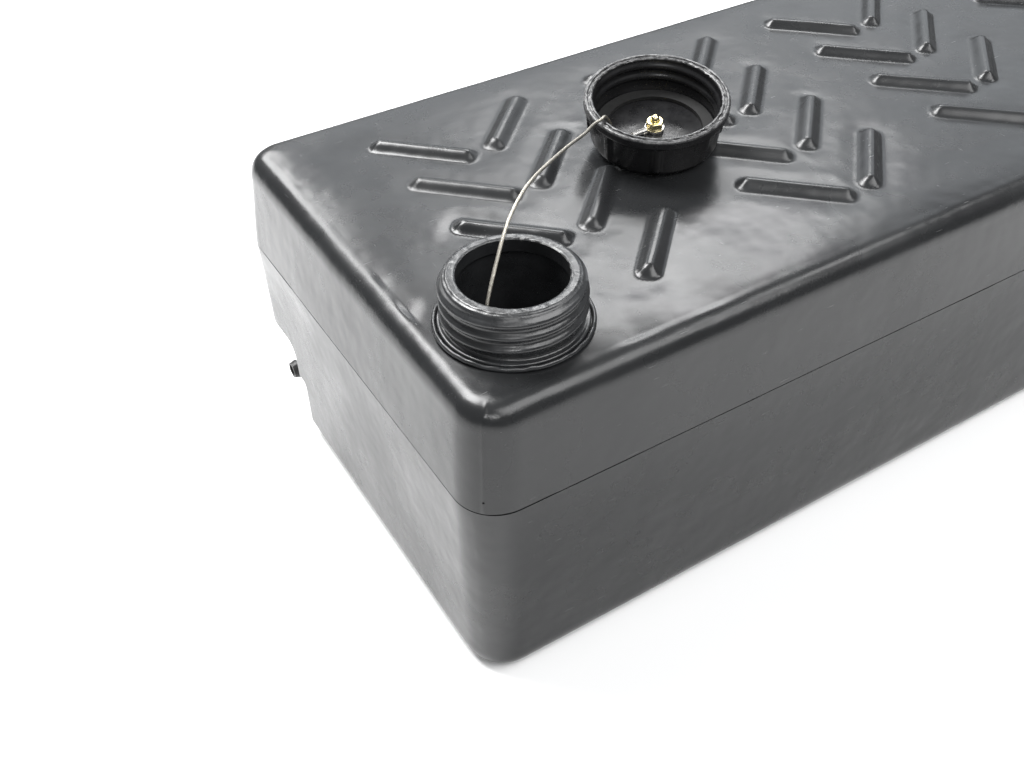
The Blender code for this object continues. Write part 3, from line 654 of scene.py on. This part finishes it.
def rib_rise(x, y):
    """How high the pressed ribs stand at a point of the top, with the slight sink round each foot."""
    best = 0.0
    sink = 0.0
    for middle, along in RIBS:
        dx, dy = x - middle.x, y - middle.y
        if abs(dx) + abs(dy) > 95 * MM:
            continue
        u = abs(dx * along.x + dy * along.y)
        v = abs(-dx * along.y + dy * along.x)
        if u > 56 * MM or v > 27 * MM:
            continue
        inward = min(RIB_HALF_WIDTH - v, RIB_HALF_LENGTH - u)
        from_corner = Vector((RIB_SLOPE - RIB_HALF_WIDTH + v, RIB_SLOPE - RIB_HALF_LENGTH + u))
        if from_corner.x > 0 and from_corner.y > 0:
            inward = RIB_SLOPE - from_corner.length
        best = max(best, soft_ramp(inward / RIB_SLOPE, 0.14) * RIB_HEIGHT)
        sink = max(sink, 0.5 * MM * math.exp(-((max(-inward, 0) / (8.5 * MM)) ** 2)))
    return best - sink


# Each sink's middle in metres, then its size and depth in millimetres. The deepest is by the filler.
DENTS = (
    (-0.372, -0.060, 11, 1.3),
    (-0.379, -0.028, 8, 0.7),
    (-0.280, -0.142, 16, 0.6),
    (-0.235, -0.128, 20, 0.8),
    (-0.258, -0.112, 9, 0.6),
    (-0.352, -0.143, 10, 0.8),
    (-0.306, -0.020, 20, 0.5),
    (0.050, 0.020, 60, 0.6),
    (0.230, -0.060, 70, 0.7),
)


def dents(x, y):
    """How deep the shallow sinks of the top are at a point."""
    sink = 0.0
    for centre_x, centre_y, size, depth in DENTS:
        r2 = ((x - centre_x) ** 2 + (y - centre_y) ** 2) / (size * MM) ** 2
        if r2 < 9:
            sink += depth * MM * math.exp(-r2)
    return sink


def tub(name, profile, flat_cells, relief):
    """One moulded half. Its outer rings run up the side profile, and the rest lies flat."""
    rings = len(profile) - 1
    cells_x, cells_y = (cells + 2 * rings for cells in flat_cells)
    fresh()
    bpy.ops.mesh.primitive_grid_add(x_subdivisions=cells_x, y_subdivisions=cells_y, size=1)
    piece = active(name)

    def place(point):
        ix = round((point.x + 0.5) * cells_x)
        iy = round((point.y + 0.5) * cells_y)
        ring = min(ix, cells_x - ix, iy, cells_y - iy, rings)
        inset, height, corner = profile[ring]
        hx, hy = HALF_LENGTH - inset, HALF_WIDTH - inset
        x = (ix - cells_x / 2) / (cells_x / 2 - ring) * hx
        y = (iy - cells_y / 2) / (cells_y / 2 - ring) * hy
        over = Vector((abs(x) - (hx - corner), abs(y) - (hy - corner)))
        if over.x > 0 and over.y > 0:
            reach = max(over.x, over.y)
            over = over.normalized() * reach
            x = math.copysign(hx - corner + over.x, x)
            y = math.copysign(hy - corner + over.y, y)
        return relief(Vector((x, y, height)), ring, rings)

    reshape(piece, place)
    return piece


def line_with_wall(piece, seam, floor, lean):
    """Gives the open half its wall: the rim turns in, and an inner face closes it."""
    only(piece)
    bpy.ops.object.mode_set(mode="EDIT")
    bpy.ops.mesh.select_all(action="DESELECT")
    bpy.ops.mesh.select_non_manifold()
    last = 0.0
    for inset, height in ((0.4 * MM, None), (0.5 * MM, seam), (WALL, seam), (WALL + lean, floor)):
        bpy.ops.mesh.extrude_edges_indiv()
        bpy.ops.object.mode_set(mode="OBJECT")
        scale_x = (HALF_LENGTH - inset) / (HALF_LENGTH - last)
        scale_y = (HALF_WIDTH - inset) / (HALF_WIDTH - last)
        for vert in piece.data.vertices:
            if vert.select:
                level = vert.co.z if height is None else height
                vert.co = (vert.co.x * scale_x, vert.co.y * scale_y, level)
        last = inset
        bpy.ops.object.mode_set(mode="EDIT")
    bpy.ops.mesh.edge_face_add()
    bpy.ops.mesh.select_all(action="SELECT")
    bpy.ops.mesh.normals_make_consistent(inside=False)
    bpy.ops.object.mode_set(mode="OBJECT")


def side_profile(seam, end, lean, fillet, side_cells, fillet_cells):
    """(inset, height, corner radius) from the seam to the edge of the flat."""
    way = 1 if end > seam else -1
    points = []
    bend = end - way * fillet
    for i in range(side_cells):
        t = i / side_cells
        points.append((lean * t, seam + (bend - seam) * t, CORNER))
    for i in range(fillet_cells + 1):
        angle = math.pi / 2 * i / fillet_cells
        pulled = fillet * (1 - math.cos(angle))
        points.append((lean + pulled, bend + way * fillet * math.sin(angle), CORNER - pulled))
    return points


def seam_lip(x, y, seed):
    """How far the moulded lip comes over the seam, which is less in a few places."""
    return 0.45 * MM * smoothstep(-0.25, 0.10, waves((x, y, seed), 0.028, 2.6) + 0.25)


def upper_relief(point, ring, rings):
    """Moves a point of the upper half by its ribs, sinks, uneven walls and mould line."""
    x, y, z = point
    if ring == 0:
        return Vector((x, y, z - seam_lip(x, y, 0.0)))
    z -= 1.2 * MM * smoothstep(rings - 9, rings, ring) ** 2 if ring < rings else 0
    if ring == rings:
        edge = min(HALF_LENGTH - abs(x), HALF_WIDTH - abs(y)) - 19 * MM
        calm = smoothstep(0, 30 * MM, edge)
        z -= 1.2 * MM * (1 - min(max(edge / (26 * MM), 0), 1)) ** 2
        sag = 0.45 * MM * calm * (1 + waves((x, y, 0), 0.075, 3.1))
        past_neck = smoothstep(44.6 * MM, 60 * MM, (Vector((x, y)) - NECK.to_2d()).length)
        z += rib_rise(x, y) - past_neck * (sag + dents(x, y))
        return Vector((x, y, z))
    pull = 0.35 * MM * (1 + waves((x, y, z * 1.5), 0.06, 9.4)) * smoothstep(0, 5, ring)
    if abs((x + HALF_LENGTH) - (y + HALF_WIDTH)) < 0.3 * MM and x < -HALF_LENGTH + 20 * MM:
        pull -= 0.55 * MM + 0.35 * MM * waves((0, 0, z), 0.012, 1.4)
    shrink_x = 1 - pull / HALF_LENGTH if abs(x) > HALF_LENGTH - 25 * MM else 1
    shrink_y = 1 - pull / HALF_WIDTH if abs(y) > HALF_WIDTH - 25 * MM else 1
    return Vector((x * shrink_x, y * shrink_y, z))


def lower_relief(point, ring, rings):
    """Moves a point of the lower half by its seam lip and its bowed, uneven walls."""
    x, y, z = point
    if ring == 0:
        return Vector((x, y, z + seam_lip(x, y, 0.05) * 0.6))
    if ring == rings:
        return point
    pull = 0.4 * MM * (1 + waves((x, y, z * 1.2), 0.08, 5.3)) * smoothstep(0, 5, ring)
    bow = 0.9 * MM * math.sin(math.pi * min(max((SEAM_LOW - z) / SEAM_LOW, 0), 1))
    end_x = abs(x) > HALF_LENGTH - 4 * MM
    end_y = abs(y) > HALF_WIDTH - 4 * MM
    middle_x = smoothstep(0, 90 * MM, HALF_LENGTH - abs(x))
    middle_y = smoothstep(0, 90 * MM, HALF_WIDTH - abs(y))
    if end_y:
        y -= math.copysign(pull * 0.6 + bow * middle_x, y)
    if end_x:
        x -= math.copysign(pull * 0.6 + bow * middle_y, x)
    return Vector((x, y, z))


def block(name, low, high):
    """A box between two corners, with its place in its mesh."""
    fresh()
    low, high = Vector(low), Vector(high)
    bpy.ops.mesh.primitive_cube_add(size=1, location=(low + high) / 2, scale=high - low)
    piece = active(name)
    settle(piece)
    return piece


def round_edges(piece, chosen, width, segments):
    """Bevels the edges that chosen(a, b) picks."""
    only(piece)
    bpy.ops.object.mode_set(mode="EDIT")
    bpy.ops.mesh.select_all(action="DESELECT")
    bpy.ops.mesh.select_mode(type="EDGE")
    bpy.ops.object.mode_set(mode="OBJECT")
    verts = piece.data.vertices
    for edge in piece.data.edges:
        a, b = (verts[i].co for i in edge.vertices)
        edge.select = chosen(a, b)
    bpy.ops.object.mode_set(mode="EDIT")
    bpy.ops.mesh.bevel(offset=width, segments=segments, affect="EDGES")
    bpy.ops.mesh.select_mode(type="VERT")
    bpy.ops.object.mode_set(mode="OBJECT")


def upper_skin():
    profile = side_profile(SEAM_TOP, TOP, UPPER_LEAN, UPPER_EDGE, 7, 10)
    skin = tub("tank_upper_skin", profile, (424, 164), upper_relief)
    line_with_wall(skin, SEAM_TOP, TOP - WALL, 3.8 * MM)
    fresh()
    hole_radius = NECK_SPIGOT + GAP
    bpy.ops.mesh.primitive_cylinder_add(vertices=96, radius=hole_radius, depth=40 * MM, location=NECK)
    cut(skin, active("neck_hole"))
    soften(skin, 60)
    return finish_piece(skin, "tank", TANK, "tank_plastic", "tank_upper_shell")


def recess_block(name, margin):
    """The stepped space below the overhanging back, grown by margin."""
    reach = HALF_LENGTH + 10 * MM
    wall = HALF_WIDTH - RECESS_DEPTH - margin

    def along_top(face):
        """Picks the edge along the top of the face at that place in Y."""

        def chosen(a, b):
            return abs(a.y - face) < MM and abs(b.y - face) < MM and a.z > 0 and b.z > 0

        return chosen

    high = (reach, HALF_WIDTH + 10 * MM, RECESS_HEIGHT + margin)
    piece = block(name, (-reach, wall, -10 * MM), high)
    round_edges(piece, along_top(wall), 12 * MM, 8)
    step_wall = wall - STEP_DEPTH
    high = (reach, HALF_WIDTH, STEP_HEIGHT + margin)
    step = block(name + "_step", (-reach, step_wall, -11 * MM), high)
    round_edges(step, along_top(step_wall), 4 * MM, 4)
    cut(piece, step, "UNION")
    return piece


def lower_skin():
    profile = side_profile(SEAM_LOW, 0, LOWER_LEAN, LOWER_EDGE, 38, 7)
    skin = tub("tank_lower_skin", profile, (152, 58), lower_relief)
    only(skin)
    bpy.ops.object.mode_set(mode="EDIT")
    bpy.ops.mesh.select_all(action="DESELECT")
    bpy.ops.mesh.select_non_manifold()
    bpy.ops.mesh.edge_face_add()
    bpy.ops.mesh.select_all(action="SELECT")
    bpy.ops.mesh.normals_make_consistent(inside=False)
    bpy.ops.object.mode_set(mode="OBJECT")
    cut(skin, recess_block("recess", 0))
    half_x = HALF_LENGTH - WALL - 2 * MM
    half_y = HALF_WIDTH - WALL - 2 * MM
    inside = block("inside", (-half_x, -half_y, WALL), (half_x, half_y, SEAM_LOW + 10 * MM))
    round_edges(inside, lambda a, b: abs(a.z - b.z) > 10 * MM, 20 * MM, 8)
    cut(inside, recess_block("recess_wall", WALL))
    cut(skin, inside)
    fresh()
    bpy.ops.mesh.primitive_cylinder_add(
        vertices=64,
        radius=14.3 * MM,
        depth=40 * MM,
        location=(OUTLET_FROM_END - HALF_LENGTH, HALF_WIDTH - OUTLET_FROM_BACK, OUTLET_HEIGHT),
        rotation=(math.pi / 2, 0, 0),
    )
    hole = active("outlet_hole")
    settle(hole)
    cut(skin, hole)
    soften(skin, 40)
    return finish_piece(skin, "tank", TANK, "tank_plastic", "tank_lower_shell")


upper_skin()
lower_skin()

# ---------------------------------------------------------------- filler neck


def thread_rise(height, angle, phase, first, last, pitch):
    """0 to 1 across a round-topped screw thread that fades in and out at its ends."""
    start = phase + pitch * angle / (2 * math.pi)
    turn = (height - start) / pitch
    nearest = round(turn - 0.5)
    middle = start + (nearest + 0.5) * pitch
    off = abs(height - middle) / pitch
    rise = soft_ramp((0.36 - off) / 0.24, 0.25)
    begun = smoothstep(first - 0.5 * MM, first + 2.5 * MM, middle)
    ended = smoothstep(last - 2.5 * MM, last + 0.5 * MM, middle)
    return rise * begun * (1 - ended)


def filler_neck():
    """Threaded tube with a flange, a spigot below the top and a lip that was trimmed by hand."""
    low = NECK_LOW.z - TOP
    top = LIP_TOP - TOP
    outline = [
        (30.0 * MM, top - 0.9 * MM),
        (30.5 * MM, top - 0.25 * MM),
        (31.3 * MM, top),
        (34.6 * MM, top),
        (35.5 * MM, top - 0.7 * MM),
        (36.6 * MM, top - 1.4 * MM),
        (NECK_WALL_OUTSIDE, top - 2.6 * MM),
        (NECK_WALL_OUTSIDE, 3.4 * MM),
        (38.3 * MM, 2.5 * MM),
        (40.6 * MM, 2.5 * MM),
        (NECK_FLANGE, 1.9 * MM),
        (NECK_FLANGE, GAP),
        (NECK_SPIGOT, GAP),
        (NECK_SPIGOT, low),
        (NECK_BORE, low),
        (NECK_BORE, top - 10.2 * MM),
        (31.3 * MM, top - 9.2 * MM),
        (30.2 * MM, top - 8.6 * MM),
    ]
    neck = turned("filler_neck_part", finer(outline, 0.8 * MM), 176)

    def move(point):
        radius = point.xy.length
        angle = math.atan2(point.y, point.x) % (2 * math.pi)
        height = point.z
        grow = 0.0
        on_wall = abs(radius - NECK_WALL_OUTSIDE) < 0.2 * MM
        if on_wall and 3.6 * MM < height < top - 2.4 * MM:
            grow = 2.55 * MM * thread_rise(height, angle, GAP, 5.0 * MM, 28.0 * MM, THREAD_PITCH)
        if height > top - 0.8 * MM:
            ragged = waves((point.x, point.y, 0), 0.0035, 2.0)
            height += 0.28 * MM * ragged - 0.25 * MM
            if radius < 31 * MM:
                grow -= 0.25 * MM * max(0, waves((point.x, point.y, 0), 0.002, 6.0))
            elif radius > 34 * MM:
                grow += 0.3 * MM * waves((point.x, point.y, 0), 0.0045, 8.0)
        scale = (radius + grow) / radius
        return Vector((point.x * scale, point.y * scale, height))

    reshape(neck, move)
    fresh()
    bpy.ops.mesh.primitive_cylinder_add(
        vertices=24,
        radius=2.3 * MM,
        depth=20 * MM,
        location=ANCHOR_OUT * 34 * MM - Vector((0, 0, ANCHOR_BELOW_TOP)),
        rotation=(0, math.pi / 2, ANCHOR_ANGLE),
    )
    hole = active("rivet_hole")
    settle(hole)
    cut(neck, hole)
    put(neck, Matrix.Translation(NECK))
    soften(neck, 50)
    return finish_piece(neck, "tank", NECK_FINISH, "neck_plastic", "filler_neck")


def neck_bead():
    """Low, lumpy bead of melted plastic round the flange."""
    inner, outer = NECK_FLANGE + GAP, (BEAD_HIGH.x - BEAD_LOW.x) / 2
    outline = [
        (inner, GAP),
        (inner, 1.0 * MM),
        (inner + 0.5 * MM, 1.9 * MM),
        ((inner + outer) / 2, 2.3 * MM),
        (outer - 0.5 * MM, 1.9 * MM),
        (outer, 1.0 * MM),
        (outer, GAP),
    ]
    bead = turned("neck_weld_ring", finer(outline, 0.7 * MM), 200)

    def move(point):
        lump = waves((point.x, point.y, 0), 0.006, 4.0)
        height = point.z
        if height > 0.5 * MM:
            height += lump * 0.55 * MM
        return Vector((point.x, point.y, height))

    reshape(bead, move)
    put(bead, Matrix.Translation(NECK))
    soften(bead, 60)
    return finish_piece(bead, "tank", NECK_FINISH, "neck_plastic", "neck_weld_bead")


filler_neck()
neck_bead()

# ---------------------------------------------------------------- cap


def filler_cap():
    """Screw cap with an inner thread, lugs outside and a worn rim."""
    rim_low = CAP_HEIGHT - 6.5 * MM
    outline = [
        (CAP_BORE + 0.02 * MM, CAP_HEIGHT - 0.7 * MM),
        (41.1 * MM, CAP_HEIGHT - 0.1 * MM),
        (41.9 * MM, CAP_HEIGHT - 0.1 * MM),
        (42.5 * MM, CAP_HEIGHT - 0.9 * MM),
        (43.3 * MM, CAP_HEIGHT - 0.9 * MM),
        (43.9 * MM, CAP_HEIGHT - 0.1 * MM),
        (45.0 * MM, CAP_HEIGHT - 0.1 * MM),
        (45.8 * MM, CAP_HEIGHT - 0.8 * MM),
        (CAP_RIM, CAP_HEIGHT - 1.6 * MM),
        (CAP_RIM, rim_low + 1.0 * MM),
        (45.3 * MM, rim_low),
        (43.0 * MM, rim_low),
        (41.2 * MM, 2.8 * MM),
        (CAP_BORE, 0.8 * MM),
        (39.0 * MM, 0.0),
        (3.3 * MM, 0.0),
        (3.3 * MM, CAP_FLOOR),
        (38.6 * MM, CAP_FLOOR),
        (40.2 * MM, CAP_FLOOR + 4.8 * MM),
        (CAP_BORE, CAP_FLOOR + 6 * MM),
    ]
    cap = turned("filler_cap_part", finer(outline, 1.0 * MM), 240)
    thread_height = CAP_HEIGHT - 1.2 * MM

    def move(point):
        radius = point.xy.length
        angle = math.atan2(point.y, point.x)
        height = point.z
        grow = 0.0
        outer_wall = 41.0 * MM + (height - 2.8 * MM) / (rim_low - 2.8 * MM) * 2.0 * MM
        if 1.5 * MM < height < rim_low - 0.1 * MM and radius > outer_wall - 0.6 * MM:
            turn = (angle - math.radians(10)) / (2 * math.pi) * CAP_LUGS
            off = abs(turn - round(turn)) * 2 * math.pi / CAP_LUGS * radius
            rise = soft_ramp((3.1 * MM - off) / (1.2 * MM), 0.3)
            grow += 1.7 * MM * rise * smoothstep(1.8 * MM, 4.5 * MM, height)
        if 40.0 * MM < radius < 40.5 * MM and 9.5 * MM < height < thread_height:
            round_way = angle % (2 * math.pi)
            rise = thread_rise(height, round_way, 3.2 * MM, 11.0 * MM, 27.0 * MM, THREAD_PITCH)
            grow -= 1.7 * MM * rise
        if height > thread_height:
            ragged = waves((point.x, point.y, 0), 0.0030, 12.0)
            ragged += 0.5 * waves((point.x, point.y, 0), 0.0012, 3.0)
            height += 0.30 * MM * ragged - 0.2 * MM
            if radius > 45 * MM or radius < 41.5 * MM:
                grow += 0.25 * MM * waves((point.x, point.y, 1), 0.0026, 7.0)
        scale = (radius + grow) / radius
        return Vector((point.x * scale, point.y * scale, height))

    reshape(cap, move)
    put(cap, CAP_PLACE)
    soften(cap, 50)
    return finish_piece(cap, "cap", CAP_FINISH, "cap_plastic", "filler_cap")


def hexagon(name, low, high, hole=None):
    """A hexagon nut or bolt head with its corners turned off."""
    corner = HEX_FLATS / 2 / math.cos(math.pi / 6)
    chamfer = 0.7 * MM
    middle = (0, 0, (low + high) / 2)
    fresh()
    bpy.ops.mesh.primitive_cylinder_add(vertices=6, radius=corner, depth=high - low, location=middle)
    piece = active(name)
    settle(piece)
    face = HEX_FLATS / 2 - 0.1 * MM
    dome = [
        (0.2 * MM, low - 1 * MM),
        (face, low - 0.001 * MM),
        (corner + 0.1 * MM, low + chamfer),
        (corner + 0.1 * MM, high - chamfer),
        (face, high + 0.001 * MM),
        (0.2 * MM, high + 1 * MM),
        (0.01 * MM, high + 1 * MM),
        (0.01 * MM, low - 1 * MM),
    ]
    cone = turned("chamfer_cone", dome, 48)
    cut(piece, cone, "INTERSECT")
    if hole:
        fresh()
        deep = 4 * (high - low)
        bpy.ops.mesh.primitive_cylinder_add(vertices=32, radius=hole, depth=deep, location=middle)
        cut(piece, active("hole"))
    return piece


def cap_bolt():
    """Hexagon head below the cap's floor, with a threaded shank that ends in a round tip."""
    head_high = -1.4 * MM
    bolt = hexagon("cap_bolt_part", head_high - 3.4 * MM, head_high)
    outline = [
        (0.02 * MM, 15.4 * MM),
        (1.1 * MM, 15.2 * MM),
        (2.0 * MM, 14.6 * MM),
        (2.6 * MM, 13.7 * MM),
        (2.75 * MM, 13.0 * MM),
        (2.75 * MM, head_high - 1.0 * MM),
        (0.02 * MM, head_high - 1.0 * MM),
    ]
    shank = turned("shank", finer(outline, 0.25 * MM), 48)

    def move(point):
        radius = point.xy.length
        if radius < 2.7 * MM or point.z > 13.2 * MM or point.z < 5 * MM:
            return point
        angle = math.atan2(point.y, point.x) % (2 * math.pi)
        rise = thread_rise(point.z, angle, 0.5 * MM, 5.5 * MM, 13.0 * MM, 1.0 * MM)
        scale = (2.72 * MM + 0.26 * MM * rise) / radius
        return Vector((point.x * scale, point.y * scale, point.z))

    reshape(shank, move)
    cut(bolt, shank, "UNION")
    put(bolt, CAP_PLACE)
    soften(bolt, 30)
    return finish_piece(bolt, "cap", BRASS, "brass", "cap_bolt")


def heights_in_cap(node):
    """The lowest and highest points of a cap piece, measured up the cap's own axis."""
    heights = [(v.co - CAP_BASE).dot(CAP_UP) for v in frame["nodes"][node].data.vertices]
    return min(heights), max(heights)


def cap_nut():
    """The nut on the bolt, turned a little so that its corners don't line up with the head's."""
    low, high = heights_in_cap("cap_nut")
    nut = hexagon("cap_nut_part", low, high, 3.3 * MM)
    put(nut, CAP_PLACE @ Matrix.Rotation(math.radians(12), 4, "Z"))
    soften(nut, 30)
    return finish_piece(nut, "cap", BRASS, "brass", "cap_nut")


filler_cap()
cap_bolt()
cap_nut()

# ---------------------------------------------------------------- carried-over solids

for node, material in (
    ("seam_weld", WELD),
    ("cap_seal", RUBBER),
    ("cap_outer_washer", RUBBER),
    ("cap_inner_washer", STEEL),
    ("cap_terminal", STEEL),
    ("anchor_terminal", STEEL),
    ("anchor_rivet", STEEL),
    ("outlet_insert", BRASS),
    ("outlet_seal", RUBBER),
    ("outlet_elbow", FITTING),
    ("outlet_lock_nut", FITTING),
):
    mesh = frame["nodes"][node].data
    mesh.materials.clear()
    mesh.materials.append(material)

# ---------------------------------------------------------------- floor and lights

fresh()
bpy.ops.mesh.primitive_plane_add(size=12, location=(0, 0, -0.2 * MM))
floor = active("floor")
paper = Finish("white_paper", roughness=0.9)
paper.shader.inputs["Base Color"].default_value = (0.90, 0.90, 0.90, 1)
floor.data.materials.append(paper.material)


def soft_light(name, place, target, width, height, power, colour=(1, 1, 1)):
    """A rectangular lamp at a place, aimed at the target."""
    light = bpy.data.lights.new(name, "AREA")
    light.shape = "RECTANGLE"
    light.size = width
    light.size_y = height
    light.energy = power
    light.color = colour
    lamp = bpy.data.objects.new(name, light)
    bpy.context.scene.collection.objects.link(lamp)
    lamp.location = place
    lamp.rotation_euler = (Vector(target) - Vector(place)).to_track_quat("-Z", "Y").to_euler()


soft_light("back_panel", (1.25, 1.60, 1.27), (-0.1, 0, 0.2), 2.6, 1.25, 14, (0.90, 0.95, 1.0))
soft_light("back_bright", (0.98, 1.36, 1.72), (-0.1, 0, 0.2), 1.0, 0.6, 20)
soft_light("left_strip", (-0.23, 1.88, 1.48), (-0.35, 0, 0.2), 0.6, 0.8, 18)
soft_light("edge_strip", (1.29, -0.23, 2.01), (-0.2, 0, 0.2), 0.5, 0.35, 6)
soft_light("front_small", (-1.35, -1.5, 1.7), (-0.33, -0.1, 0.22), 0.45, 0.45, 12)
soft_light("overhead_left", (-0.75, 1.35, 2.5), (-0.4, 0.3, 0), 1.4, 1.2, 150)
soft_light("overhead_front", (0.4, -1.3, 2.4), (0.2, -0.4, 0), 2.2, 1.4, 66)

world = bpy.data.worlds.new("studio")
bpy.context.scene.world = world
world.use_nodes = True
backdrop = world.node_tree.nodes["Background"]
backdrop.inputs["Color"].default_value = (0.96, 0.98, 1.0, 1)
backdrop.inputs["Strength"].default_value = 0.26
bpy.context.scene.view_settings.view_transform = "Standard"
